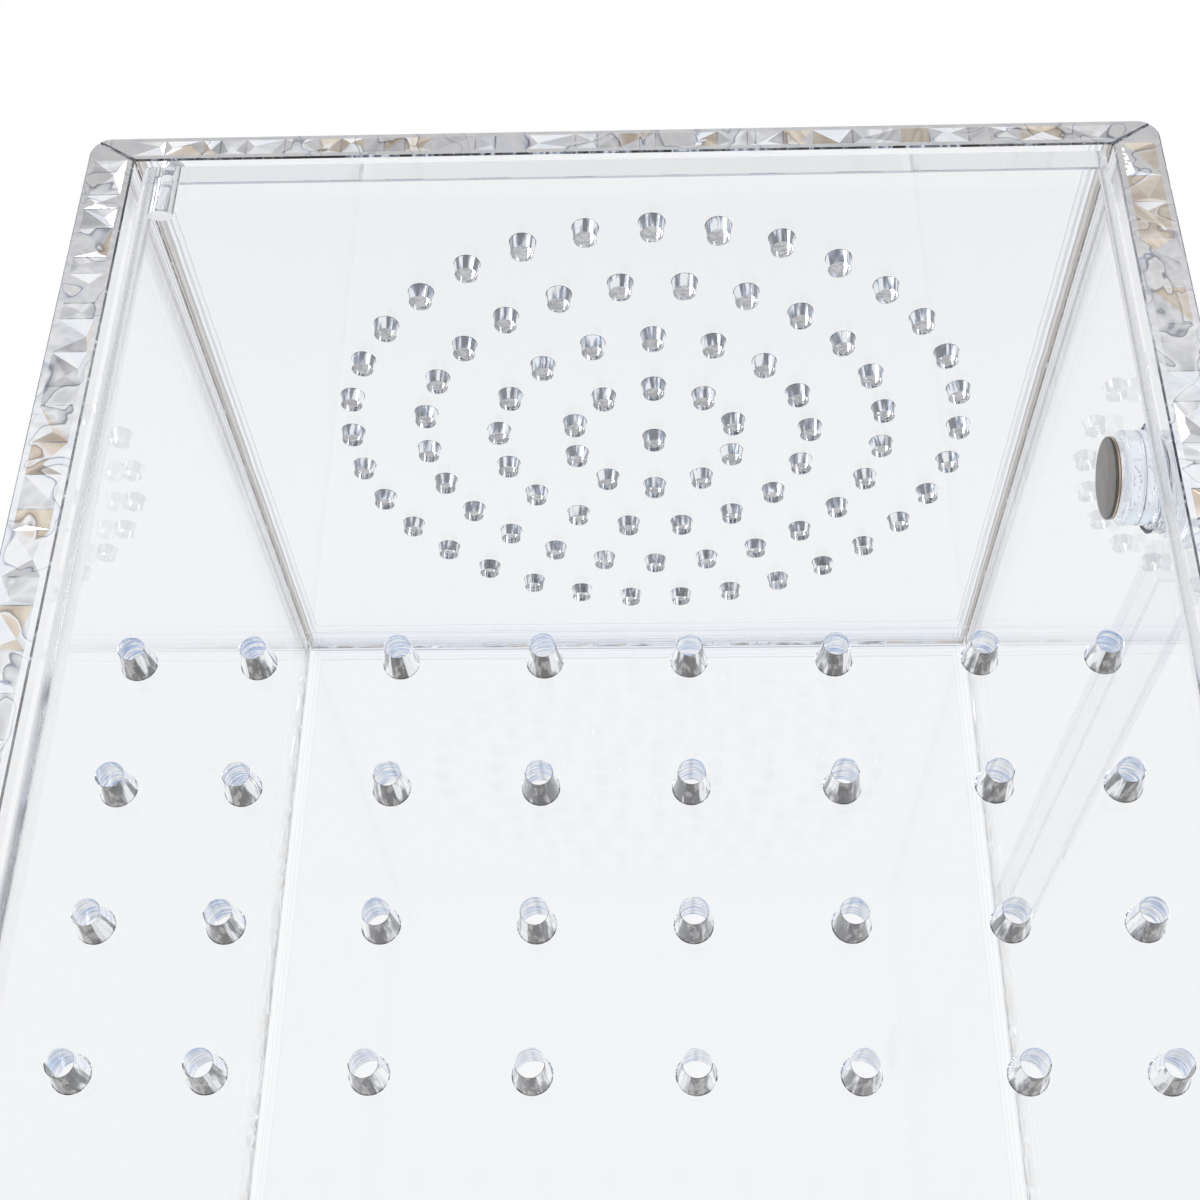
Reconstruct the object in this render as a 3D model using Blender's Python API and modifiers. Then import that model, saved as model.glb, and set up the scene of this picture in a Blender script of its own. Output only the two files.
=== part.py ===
"""Clear acrylic enclosure for a jumping spider.

A mitred ring of four panels with a thinner top, an inset back, a front door that turns on two pivot pins and
closes against two magnet blocks, rings of tapered vents in the top, a grid of them in the
door, and a feeding port in the right wall with a pull-out plug.

Units are metres. X runs to the right, Y to the back, Z up. The origin is the middle of the
floor panel's underside, and the front faces -Y.
"""
import math

import bmesh
import bpy
from mathutils import Matrix, Vector

# Box
enclosure_width = 0.1016
enclosure_depth = 0.0984
enclosure_height = 0.1524
panel_thickness = 0.0045
top_thickness = 0.003
joint_gap = 0.0001
corner_radius = 0.002
cutter_overrun = 0.001

# Vents in the top panel: a centre hole and rings of holes round it
top_vent_inner_radius = 0.00115
top_vent_outer_radius = 0.00135
first_ring_radius = 0.0097
ring_step = 0.0086
ring_counts = (10, 17, 25, 33)
ring_phase_shares = (0.0, 0.0, 0.5, 0.0)
ring_centre_right_of_middle = 0.003
ring_centre_behind_middle = 0.0018
vent_sides = 12

# Door and its grid of vents
door_thickness = 0.0045
door_clearance = 0.0008
door_hinge_edge_radius = 0.001
door_latch_edge_radius = 0.0003
door_vent_outer_radius = 0.0012
door_vent_inner_radius = 0.0015
door_vent_columns = 8
door_vent_column_pitch = 0.0115
door_vent_end_column_pitch = 0.0097
door_vent_rows = 4
door_vent_row_pitch = 0.011
door_vent_first_row_drop = 0.0536

# Pivot pins of the door
pin_radius = 0.001
pin_hole_clearance = 0.00025
pin_reach_into_door = 0.005
pin_reach_into_panel = 0.0018
pin_end_clearance = 0.0003
pin_edge_softening = 0.0002

# Knob on the door
knob_base_radius = 0.0026
knob_neck_radius = 0.0019
knob_head_radius = 0.004
knob_neck_height = 0.0024
knob_height = 0.0066
knob_rim_radius = 0.0011
knob_inset_from_latch_edge = 0.0105
knob_height_above_floor = 0.03

# Blocks that stop the door, and the magnets that hold it shut
stop_block_width = 0.005
stop_block_depth = 0.0055
stop_block_height = 0.009
stop_block_softening = 0.0003
latch_magnet_radius = 0.002
latch_magnet_thickness = 0.001
latch_magnet_softening = 0.00015
latch_magnet_gap = 0.0003
lower_stop_height_above_floor = 0.012
upper_stop_height_above_floor = 0.044

# Feeding port in the right wall, and its plug
port_drop = 0.0328
port_clearance = 0.00025
plug_radius = 0.0046
plug_door_clearance = 0.0005
plug_magnet_radius = 0.004
plug_magnet_thickness = 0.001
plug_disc_thickness = 0.0012
plug_edge_softening = 0.0002
plug_cap_radius = 0.0053
plug_cap_thickness = 0.003
plug_cap_rim_radius = 0.0008
plug_cap_seat_gap = 0.0003
plug_finger_groove_radius = 0.0007

# Bar along the outside of the right wall, from behind the plug to the back
rail_clearance_behind_cap = 0.0004
rail_drop = 0.0354
rail_height = 0.0045
rail_width = 0.0045
rail_softening = 0.0003

round_sides = 32
small_round_sides = 24
arc_steps = 5

# Worked out from the sizes above
half_width = enclosure_width / 2
half_depth = enclosure_depth / 2
inner_half_width = half_width - panel_thickness
inner_height = enclosure_height - panel_thickness - top_thickness
ceiling_height = enclosure_height - top_thickness
front_y = -half_depth
back_inner_y = half_depth - panel_thickness
ring_centre_y = (front_y + back_inner_y) / 2 + ring_centre_behind_middle

clear_acrylic = {"colour": (0.92, 0.93, 0.94, 1), "roughness": 0.05, "transmission": 1.0}
edge_lit_acrylic = {"colour": (0.9, 0.92, 0.94, 1), "roughness": 0.08, "transmission": 1.0}
bright_nickel = {"colour": (0.55, 0.52, 0.49, 1), "roughness": 0.3, "metallic": 1.0}


def clear_scene():
    for item in list(bpy.data.objects):
        bpy.data.objects.remove(item, do_unlink=True)


def new_collection(name):
    collection = bpy.data.collections.new(name)
    bpy.context.scene.collection.children.link(collection)
    return collection


def finish_material(name, finish):
    """One Principled material for one piece."""
    material = bpy.data.materials.new(name)
    material.use_nodes = True
    shader = material.node_tree.nodes["Principled BSDF"]
    shader.inputs["Base Color"].default_value = finish["colour"]
    shader.inputs["Roughness"].default_value = finish["roughness"]
    shader.inputs["Metallic"].default_value = finish.get("metallic", 0.0)
    shader.inputs["Transmission Weight"].default_value = finish.get("transmission", 0.0)
    return material


def place(item, collection, finish=None, parent=None):
    """Put an object in its collection with its material, under its parent."""
    for holder in list(item.users_collection):
        holder.objects.unlink(item)
    collection.objects.link(item)
    if finish is not None:
        item.data.materials.clear()
        item.data.materials.append(finish_material(item.name, finish))
    if parent is not None:
        bpy.context.view_layer.update()
        item.parent = parent
        item.matrix_parent_inverse = parent.matrix_world.inverted()
    return item


def joint_empty(name, location, collection):
    """An empty on a joint's axis, which carries the pieces that move with it."""
    empty = bpy.data.objects.new(name, None)
    empty.location = location
    collection.objects.link(empty)
    bpy.context.view_layer.update()
    return empty


def soften(item, width, segments=2):
    """Round an object's sharp edges."""
    bevel = item.modifiers.new("soft_edges", "BEVEL")
    bevel.width = width
    bevel.segments = segments
    bevel.limit_method = "ANGLE"
    return bevel


def cut(item, cutter):
    boolean = item.modifiers.new("cut_" + cutter.name, "BOOLEAN")
    boolean.operation = "DIFFERENCE"
    boolean.solver = "EXACT"
    boolean.object = cutter


def make_cutter(item, collection):
    place(item, collection)
    item.hide_render = True
    item.display_type = "WIRE"
    return item


def shade_round(item):
    """Smooth shading with the edges kept crisp."""
    item.data.shade_smooth()
    item.data.set_sharp_from_angle(angle=math.radians(35))


def box(name, low, high):
    """A box between two corners, with its origin at its middle."""
    size = Vector(high) - Vector(low)
    mesh = bpy.data.meshes.new(name)
    form = bmesh.new()
    bmesh.ops.create_cube(form, size=1)
    bmesh.ops.scale(form, vec=size, verts=form.verts)
    form.to_mesh(mesh)
    form.free()
    item = bpy.data.objects.new(name, mesh)
    item.location = (Vector(low) + Vector(high)) / 2
    bpy.context.scene.collection.objects.link(item)
    return item


def rod(name, radius, length, middle, direction, sides=round_sides):
    """A cylinder of the given length, centred on a point, along a direction."""
    mesh = bpy.data.meshes.new(name)
    form = bmesh.new()
    bmesh.ops.create_cone(form, cap_ends=True, segments=sides,
                          radius1=radius, radius2=radius, depth=length)
    form.to_mesh(mesh)
    form.free()
    item = bpy.data.objects.new(name, mesh)
    item.rotation_euler = Vector(direction).to_track_quat("Z", "Y").to_euler()
    item.location = middle
    bpy.context.scene.collection.objects.link(item)
    shade_round(item)
    return item


def extruded_outline(name, points, length):
    """A flat outline in the XY plane, extruded by a length about that plane, as a mesh."""
    curve = bpy.data.curves.new(name + "_outline", "CURVE")
    curve.dimensions = "2D"
    curve.fill_mode = "BOTH"
    curve.extrude = length / 2
    spline = curve.splines.new("POLY")
    spline.points.add(len(points) - 1)
    for point, (x, y) in zip(spline.points, points):
        point.co = (x, y, 0, 1)
    spline.use_cyclic_u = True
    outline = bpy.data.objects.new(name + "_outline", curve)
    bpy.context.scene.collection.objects.link(outline)
    bpy.context.view_layer.update()
    evaluated = outline.evaluated_get(bpy.context.evaluated_depsgraph_get())
    mesh = bpy.data.meshes.new_from_object(evaluated)
    form = bmesh.new()
    form.from_mesh(mesh)
    bmesh.ops.remove_doubles(form, verts=form.verts, dist=joint_gap / 10)
    bmesh.ops.recalc_face_normals(form, faces=form.faces)
    form.to_mesh(mesh)
    form.free()
    mesh.name = name
    item = bpy.data.objects.new(name, mesh)
    item.matrix_world = outline.matrix_world
    bpy.data.objects.remove(outline)
    bpy.context.scene.collection.objects.link(item)
    return item


def turned(name, profile, middle, direction, sides=round_sides):
    """A turned solid: a profile of (radius, height) points, from its top to its bottom."""
    mesh = bpy.data.meshes.new(name)
    form = bmesh.new()
    corners = [form.verts.new((radius, 0, height)) for radius, height in profile]
    for start, end in zip(corners, corners[1:]):
        form.edges.new((start, end))
    form.to_mesh(mesh)
    form.free()
    item = bpy.data.objects.new(name, mesh)
    screw = item.modifiers.new("turn", "SCREW")
    screw.steps = sides
    screw.render_steps = sides
    screw.use_merge_vertices = True
    screw.merge_threshold = joint_gap / 10
    screw.use_smooth_shade = True
    item.rotation_euler = Vector(direction).to_track_quat("Z", "Y").to_euler()
    item.location = middle
    bpy.context.scene.collection.objects.link(item)
    return item


def arc(middle_u, middle_v, radius, start, end, steps=arc_steps):
    """Points of an arc, with its angles in degrees."""
    points = []
    for step in range(steps + 1):
        angle = math.radians(start + (end - start) * step / steps)
        points.append((middle_u + radius * math.cos(angle), middle_v + radius * math.sin(angle)))
    return points


def mitred_end(half, thickness, neighbour):
    """Corner points of a panel's right end, from its inner to its outer face.

    The mitre runs from the ring's inner corner to its outer one, set back by half the joint's
    gap, and ends on the ring's round corner.
    """
    setback = joint_gap / 2 * math.hypot(neighbour, thickness) / thickness
    start = (half - neighbour - setback, 0)
    centre = (half - corner_radius, thickness - corner_radius)
    away = (start[0] - centre[0], start[1] - centre[1])
    along = neighbour * away[0] + thickness * away[1]
    steepness = neighbour ** 2 + thickness ** 2
    beyond = away[0] ** 2 + away[1] ** 2 - corner_radius ** 2
    share = (-along + math.sqrt(along ** 2 - steepness * beyond)) / steepness
    meet = (start[0] + share * neighbour, share * thickness)
    angle = math.degrees(math.atan2(meet[1] - centre[1], meet[0] - centre[0]))
    return [start] + arc(centre[0], centre[1], corner_radius, angle, 90)


def mitred_outline(span, thickness, left_neighbour, right_neighbour):
    """Cross-section of one panel of the ring, between neighbours of the given thicknesses.

    u runs along the panel, v outwards from its inner face.
    """
    right = mitred_end(span / 2, thickness, right_neighbour)
    left = mitred_end(span / 2, thickness, left_neighbour)
    return right + [(-u, v) for u, v in reversed(left)]


def ring_panel(name, outline, middle, turn):
    """A panel of the mitred ring: its outline turned about Y, with its inner face on a point."""
    item = extruded_outline(name, outline, enclosure_depth)
    outward = Matrix.Rotation(math.radians(turn), 4, "Y")
    upright = Matrix.Rotation(math.radians(90), 4, "X")
    item.matrix_world = Matrix.Translation(middle) @ outward @ upright
    return item


def vent_cutter(name, places, axis, near_radius, far_radius, thickness):
    """Tapered pins at the given places, which run through a panel along an axis.

    A place is the point where a vent's axis meets the panel's near face.
    """
    slope = (far_radius - near_radius) / thickness
    length = thickness + 2 * cutter_overrun
    direction = Vector(axis)
    turn = direction.to_track_quat("Z", "Y").to_matrix().to_4x4()
    mesh = bpy.data.meshes.new(name)
    form = bmesh.new()
    for place_point in places:
        middle = Vector(place_point) + direction * (thickness / 2)
        bmesh.ops.create_cone(form, cap_ends=True, segments=vent_sides,
                              radius1=near_radius - slope * cutter_overrun,
                              radius2=far_radius + slope * cutter_overrun,
                              depth=length, matrix=Matrix.Translation(middle) @ turn)
    form.to_mesh(mesh)
    form.free()
    item = bpy.data.objects.new(name, mesh)
    bpy.context.scene.collection.objects.link(item)
    return item


def top_vent_places():
    """The centre vent and those of the rings, on the ceiling's lower face."""
    middle_x = ring_centre_right_of_middle
    places = [(middle_x, ring_centre_y, ceiling_height)]
    for index, (count, phase_share) in enumerate(zip(ring_counts, ring_phase_shares)):
        radius = first_ring_radius + index * ring_step
        for number in range(count):
            angle = 2 * math.pi * (number + phase_share) / count
            places.append((middle_x + radius * math.sin(angle),
                           ring_centre_y - radius * math.cos(angle), ceiling_height))
    return places


def door_vent_places():
    """The grid of vents on the door's front face; the end columns stand closer in."""
    inner_columns = door_vent_columns - 2
    columns = [(number - (inner_columns - 1) / 2) * door_vent_column_pitch
               for number in range(inner_columns)]
    columns = ([columns[0] - door_vent_end_column_pitch] + columns
               + [columns[-1] + door_vent_end_column_pitch])
    places = []
    for row in range(door_vent_rows):
        height = ceiling_height - door_vent_first_row_drop - row * door_vent_row_pitch
        places += [(column, front_y, height) for column in columns]
    return places


def make_ring(parts, cutters, root):
    """Top, floor and side walls: one mitred ring."""
    sheet = panel_thickness
    level = mitred_outline(enclosure_width, top_thickness, sheet, sheet)
    top = ring_panel("top_panel", level, (0, 0, ceiling_height), 0)
    level = mitred_outline(enclosure_width, sheet, sheet, sheet)
    floor = ring_panel("floor_panel", level, (0, 0, panel_thickness), 180)
    upright = mitred_outline(enclosure_height, sheet, sheet, top_thickness)
    left = ring_panel("left_wall", upright, (-inner_half_width, 0, enclosure_height / 2), -90)
    upright = mitred_outline(enclosure_height, sheet, top_thickness, sheet)
    right = ring_panel("right_wall", upright, (inner_half_width, 0, enclosure_height / 2), 90)
    for panel in (top, floor, left, right):
        place(panel, parts, clear_acrylic, root)
        shade_round(panel)

    vents = vent_cutter("top_vents_cutter", top_vent_places(), (0, 0, 1),
                        top_vent_inner_radius, top_vent_outer_radius, top_thickness)
    cut(top, make_cutter(vents, cutters))

    hole_radius = pin_radius + pin_hole_clearance
    hole_depth = pin_reach_into_panel + pin_end_clearance
    pin_x, pin_y = door_pivot()
    for panel, face_height, outward in ((top, ceiling_height, 1), (floor, panel_thickness, -1)):
        middle_height = face_height + outward * (hole_depth - cutter_overrun) / 2
        hole = rod(panel.name + "_pin_hole_cutter", hole_radius, hole_depth + cutter_overrun,
                   (pin_x, pin_y, middle_height), (0, 0, 1), small_round_sides)
        cut(panel, make_cutter(hole, cutters))

    port = rod("port_cutter", plug_radius + port_clearance, panel_thickness + 2 * cutter_overrun,
               (half_width - panel_thickness / 2, plug_axis()[0], plug_axis()[1]), (1, 0, 0))
    cut(right, make_cutter(port, cutters))


def make_back(parts, root):
    """The back panel, inset in the ring and flush with its rear edges."""
    low = (-inner_half_width + joint_gap, back_inner_y, panel_thickness + joint_gap)
    high = (inner_half_width - joint_gap, half_depth, ceiling_height - joint_gap)
    back = box("back_wall", low, high)
    place(back, parts, clear_acrylic, root)


def door_pivot():
    """X and Y of the door's pivot axis: the middle of its thickness, the same way in from its edge."""
    return (-inner_half_width + door_clearance + door_thickness / 2,
            front_y + door_thickness / 2)


def plug_axis():
    """Y and Z of the plug's axis: just behind the door, below the ceiling."""
    behind_door = front_y + door_thickness + plug_door_clearance + plug_radius
    return behind_door, ceiling_height - port_drop


def make_door(parts, cutters, swing):
    """The door panel, flush with the front of the ring."""
    left = -inner_half_width + door_clearance
    right = inner_half_width - door_clearance
    back_y = front_y + door_thickness
    hinge_round = door_hinge_edge_radius
    latch_round = door_latch_edge_radius
    outline = (arc(left + hinge_round, back_y - hinge_round, hinge_round, 90, 180)
               + arc(left + hinge_round, front_y + hinge_round, hinge_round, 180, 270)
               + arc(right - latch_round, front_y + latch_round, latch_round, 270, 360, 2)
               + arc(right - latch_round, back_y - latch_round, latch_round, 0, 90, 2))
    height = inner_height - 2 * door_clearance
    door = extruded_outline("door_panel", outline, height)
    door.location = (0, 0, panel_thickness + inner_height / 2)
    place(door, parts, clear_acrylic, swing)
    shade_round(door)

    vents = vent_cutter("door_vents_cutter", door_vent_places(), (0, 1, 0),
                        door_vent_outer_radius, door_vent_inner_radius, door_thickness)
    cut(door, make_cutter(vents, cutters))

    hole_radius = pin_radius + pin_hole_clearance
    hole_depth = pin_reach_into_door + pin_end_clearance
    pin_x, pin_y = door_pivot()
    door_top = ceiling_height - door_clearance
    door_bottom = panel_thickness + door_clearance
    for end, face_height, inward in (("top", door_top, -1), ("bottom", door_bottom, 1)):
        middle_height = face_height + inward * (hole_depth - cutter_overrun) / 2
        hole = rod("door_" + end + "_pin_hole_cutter", hole_radius, hole_depth + cutter_overrun,
                   (pin_x, pin_y, middle_height), (0, 0, 1), small_round_sides)
        cut(door, make_cutter(hole, cutters))


def make_pins(parts, swing):
    """Clear pivot pins, fixed in the door, which turn in the top and floor panels."""
    pin_x, pin_y = door_pivot()
    length = pin_reach_into_door + door_clearance + pin_reach_into_panel
    for name, face_height, outward in (("door_pin_top", ceiling_height, 1),
                                       ("door_pin_bottom", panel_thickness, -1)):
        middle_height = face_height + outward * (pin_reach_into_panel - length / 2)
        pin = rod(name, pin_radius, length, (pin_x, pin_y, middle_height), (0, 0, 1),
                  small_round_sides)
        soften(pin, pin_edge_softening)
        place(pin, parts, edge_lit_acrylic, swing)


def make_knob(parts, swing):
    """A turned clear knob on the door's front, low down beside its free edge."""
    head = knob_height - knob_rim_radius
    profile = ([(0, knob_height)]
               + [(u, v) for u, v in reversed(arc(knob_head_radius - knob_rim_radius, head,
                                                  knob_rim_radius, 0, 90))]
               + [(knob_head_radius, head - knob_rim_radius / 2),
                  (knob_neck_radius, knob_neck_height),
                  (knob_neck_radius, knob_neck_height / 2),
                  (knob_base_radius, 0), (0, 0)])
    knob_x = inner_half_width - door_clearance - knob_inset_from_latch_edge
    knob = turned("door_knob", profile,
                  (knob_x, front_y - joint_gap, panel_thickness + knob_height_above_floor),
                  (0, -1, 0))
    place(knob, parts, edge_lit_acrylic, swing)


def make_latches(parts, root, swing):
    """Two blocks behind the door's free edge, each with a magnet that meets one on the door."""
    door_back = front_y + door_thickness
    middle_x = inner_half_width - joint_gap - stop_block_width / 2
    door_magnet_face = door_back + joint_gap + latch_magnet_thickness
    block_magnet_front = door_magnet_face + latch_magnet_gap
    block_front = block_magnet_front + latch_magnet_thickness + joint_gap
    for level, height_above_floor in (("lower", lower_stop_height_above_floor),
                                      ("upper", upper_stop_height_above_floor)):
        height = panel_thickness + height_above_floor
        low = (middle_x - stop_block_width / 2, block_front, height - stop_block_height / 2)
        high = (middle_x + stop_block_width / 2, block_front + stop_block_depth,
                height + stop_block_height / 2)
        block = box("stop_block_" + level, low, high)
        soften(block, stop_block_softening)
        place(block, parts, edge_lit_acrylic, root)

        block_magnet = rod("block_magnet_" + level, latch_magnet_radius, latch_magnet_thickness,
                           (middle_x, block_magnet_front + latch_magnet_thickness / 2, height),
                           (0, 1, 0), small_round_sides)
        soften(block_magnet, latch_magnet_softening)
        place(block_magnet, parts, bright_nickel, root)

        door_magnet = rod("door_magnet_" + level, latch_magnet_radius, latch_magnet_thickness,
                          (middle_x, door_magnet_face - latch_magnet_thickness / 2, height),
                          (0, 1, 0), small_round_sides)
        soften(door_magnet, latch_magnet_softening)
        place(door_magnet, parts, bright_nickel, swing)


def make_plug(parts, pull):
    """The feeding port's plug: cap, body in the wall, two discs and an end magnet."""
    axis_y, axis_z = plug_axis()
    cap_inner_x = half_width + plug_cap_seat_gap
    layers = (("plug_body", plug_radius, panel_thickness + plug_cap_seat_gap - joint_gap),
              ("plug_disc_outer", plug_radius, plug_disc_thickness),
              ("plug_disc_inner", plug_radius, plug_disc_thickness),
              ("plug_magnet", plug_magnet_radius, plug_magnet_thickness))
    face_x = cap_inner_x
    for name, radius, length in layers:
        face_x -= joint_gap
        layer = rod(name, radius, length, (face_x - length / 2, axis_y, axis_z), (1, 0, 0))
        soften(layer, plug_edge_softening)
        finish = bright_nickel if name == "plug_magnet" else edge_lit_acrylic
        place(layer, parts, finish, pull)
        face_x -= length

    groove = plug_finger_groove_radius
    groove_height = plug_cap_thickness / 2
    rim_height = plug_cap_thickness - plug_cap_rim_radius
    profile = ([(0, plug_cap_thickness)]
               + list(reversed(arc(plug_cap_radius - plug_cap_rim_radius, rim_height,
                                   plug_cap_rim_radius, 0, 90)))
               + arc(plug_cap_radius, groove_height, groove, 90, 270)
               + [(plug_cap_radius, 0), (0, 0)])
    cap = turned("plug_cap", profile, (cap_inner_x, axis_y, axis_z), (1, 0, 0))
    place(cap, parts, edge_lit_acrylic, pull)


def make_rail(parts, root):
    """A square bar along the outside of the right wall, from the plug's cap to the back."""
    top = ceiling_height - rail_drop
    behind_cap = plug_axis()[0] + plug_cap_radius + rail_clearance_behind_cap
    low = (half_width + joint_gap, behind_cap, top - rail_height)
    high = (half_width + joint_gap + rail_width, half_depth, top)
    rail = box("side_rail", low, high)
    soften(rail, rail_softening)
    place(rail, parts, edge_lit_acrylic, root)


def main():
    clear_scene()
    parts = new_collection("spider_enclosure")
    cutters = new_collection("spider_enclosure_cutters")
    root = joint_empty("enclosure_frame", (0, 0, 0), parts)
    pin_x, pin_y = door_pivot()
    swing = joint_empty("door_hinge_axis", (pin_x, pin_y, panel_thickness), parts)
    pull = joint_empty("plug_pull_axis", (half_width, plug_axis()[0], plug_axis()[1]), parts)

    make_ring(parts, cutters, root)
    make_back(parts, root)
    make_door(parts, cutters, swing)
    make_pins(parts, swing)
    make_knob(parts, swing)
    make_latches(parts, root, swing)
    make_plug(parts, pull)
    make_rail(parts, root)
    bpy.context.view_layer.update()


main()
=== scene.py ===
"""Looks of a clear acrylic enclosure for a jumping spider, dressed on its CAD frame.

Units are metres in the CAD frame: X to the right, Y to the back, Z up, front at -Y.
"""
import math
import random

import bmesh
import bpy
from mathutils import Matrix, Vector
from mathutils.geometry import delaunay_2d_cdt


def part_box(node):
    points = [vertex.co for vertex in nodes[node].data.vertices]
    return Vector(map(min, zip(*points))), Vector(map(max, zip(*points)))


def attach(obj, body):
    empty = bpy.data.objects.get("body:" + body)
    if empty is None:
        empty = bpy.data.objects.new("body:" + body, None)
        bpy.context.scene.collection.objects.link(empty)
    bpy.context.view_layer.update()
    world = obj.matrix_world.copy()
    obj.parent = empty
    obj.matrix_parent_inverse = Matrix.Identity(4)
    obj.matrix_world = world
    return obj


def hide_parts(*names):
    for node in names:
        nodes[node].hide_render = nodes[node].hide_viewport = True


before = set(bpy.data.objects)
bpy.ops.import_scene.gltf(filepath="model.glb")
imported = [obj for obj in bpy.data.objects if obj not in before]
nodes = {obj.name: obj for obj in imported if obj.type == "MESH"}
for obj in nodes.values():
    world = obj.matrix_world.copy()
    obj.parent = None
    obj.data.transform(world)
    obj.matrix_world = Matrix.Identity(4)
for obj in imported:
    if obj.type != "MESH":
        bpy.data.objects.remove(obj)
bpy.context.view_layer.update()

# Camera, from the lines of the box in the photograph
IMAGE_WIDTH = 1200
FOCAL_PIXELS = 1721
CAMERA_PLACE = (0.0034, -0.1666, 0.0290)
CAMERA_YAW = -2.29
CAMERA_PITCH = 31.11
CAMERA_ROLL = 0.69

# Sizes of the CAD model
HALF_WIDTH = 0.0508
HALF_DEPTH = 0.0492
HEIGHT = 0.1524
SHEET = 0.0045
TOP_SHEET = 0.003
JOINT_GAP = 0.0001
CORNER_RADIUS = 0.002
INNER_HALF_WIDTH = HALF_WIDTH - SHEET
CEILING = HEIGHT - TOP_SHEET
EDGE_CHAMFER = 0.00015
CUT_EDGE_CHAMFER = 0.00016
CUT_BORDER = 0.0007
TOP_CUT_BORDER = 0.0006

TOP_VENT_RADII = (0.00115, 0.00135)
RING_CENTRE = (0.003, -0.00045)
RINGS = ((0.0097, 10, 0.0), (0.0183, 17, 0.0), (0.0269, 25, 0.5), (0.0355, 33, 0.0))
TOP_VENT_SIDES = 28

DOOR_CLEARANCE = 0.0008
DOOR_VENT_RADII = (0.00102, 0.00142)
DOOR_COLUMNS = (-0.03845, -0.02875, -0.01725, -0.00575, 0.00575, 0.01725, 0.02875, 0.03845)
DOOR_ROW_DROPS = (0.0536, 0.0646, 0.0756, 0.0866)
DOOR_VENT_SIDES = 40
DOOR_HINGE_ROUND = 0.001
DOOR_LATCH_ROUND = 0.0003
PIVOT = (-0.04325, -0.04695)
PIN_HOLE_RADIUS = 0.00125
PIN_HOLE_SIDES = 24
PANEL_PIN_HOLE_DEPTH = 0.0021
DOOR_PIN_HOLE_DEPTH = 0.0053

PLUG_AXIS = (-0.0396, 0.1166)
PORT_RADIUS = 0.00485

# Places of a panel's materials in its list
FACE, END, BORE, CHAMFER, LONG_SIDE = range(5)
# Painted reflection tones of the sawn facets
PAINTED_REFLECTION_TONES = (5, 6, 7)
# Lines of painted shade between the facets, then the bores' painted highlight and painted shade
PAINTED_SHADE_FACET_LINE, PAINTED_HIGHLIGHT_BORE, PAINTED_SHADE_BORE = 8, 9, 10

# Looks of the joints and of the sheet between them
JOINT_REACH = 0.002
SHEET_TINT = (0.930, 0.937, 0.946)
ACRYLIC_IOR = 1.49
STRAIGHT_THROUGH_IOR = 1.001


class Graph:
    """A short way to write a material's or world's node tree."""

    def __init__(self, tree):
        self.tree = tree
        tree.nodes.clear()

    def node(self, kind, values=None, **settings):
        made = self.tree.nodes.new(kind)
        for name, value in settings.items():
            setattr(made, name, value)
        for socket, value in (values or {}).items():
            self.put(made.inputs[socket], value)
        return made

    def put(self, socket, value):
        if isinstance(value, bpy.types.NodeSocket):
            self.tree.links.new(value, socket)
        else:
            socket.default_value = value

    def surface(self, shader):
        output = self.node("ShaderNodeOutputMaterial")
        self.put(output.inputs["Surface"], shader.outputs[0])

    def drawn_out_noise(self, stretch, detail):
        """Noise drawn out by a scale for each axis."""
        place = self.node("ShaderNodeTexCoord").outputs["Object"]
        drawn = self.node("ShaderNodeVectorMath", {0: place, 1: stretch}, operation="MULTIPLY")
        return self.node("ShaderNodeTexNoise", {"Vector": drawn.outputs[0], "Scale": 1.0,
                                                "Detail": detail}).outputs[0]

    def math(self, operation, *values, clamp=False):
        made = self.node("ShaderNodeMath", operation=operation, use_clamp=clamp)
        for index, value in enumerate(values):
            self.put(made.inputs[index], value)
        return made.outputs[0]

    def ramp(self, value, stops, interpolation="LINEAR"):
        made = self.node("ShaderNodeValToRGB", {"Fac": value})
        made.color_ramp.interpolation = interpolation
        elements = made.color_ramp.elements
        while len(elements) < len(stops):
            elements.new(0.5)
        for element, (place, colour) in zip(elements, stops):
            element.position = place
            element.color = (*colour, 1)
        return made.outputs["Color"]


def new_material(name):
    material = bpy.data.materials.new(name)
    material.use_nodes = True
    return material, Graph(material.node_tree)


def acrylic(name, tint, roughness=0.0, reflection=(1, 1, 1), normal=None):
    material, graph = new_material(name)
    values = {"Base Color": (*tint, 1), "Roughness": roughness, "IOR": ACRYLIC_IOR,
              "Transmission Weight": 1.0, "Specular Tint": (*reflection, 1)}
    if normal is not None:
        values["Normal"] = normal(graph)
    shader = graph.node("ShaderNodeBsdfPrincipled", values)
    graph.surface(shader)
    return material


def bore_marks(stretch, strength):
    """Tool marks, as a bump."""
    def normal(graph):
        marks = graph.drawn_out_noise(stretch, 3.0)
        bump = graph.node("ShaderNodeBump", {"Strength": strength, "Distance": 0.0001, "Height": marks})
        return bump.outputs[0]
    return normal


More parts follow.
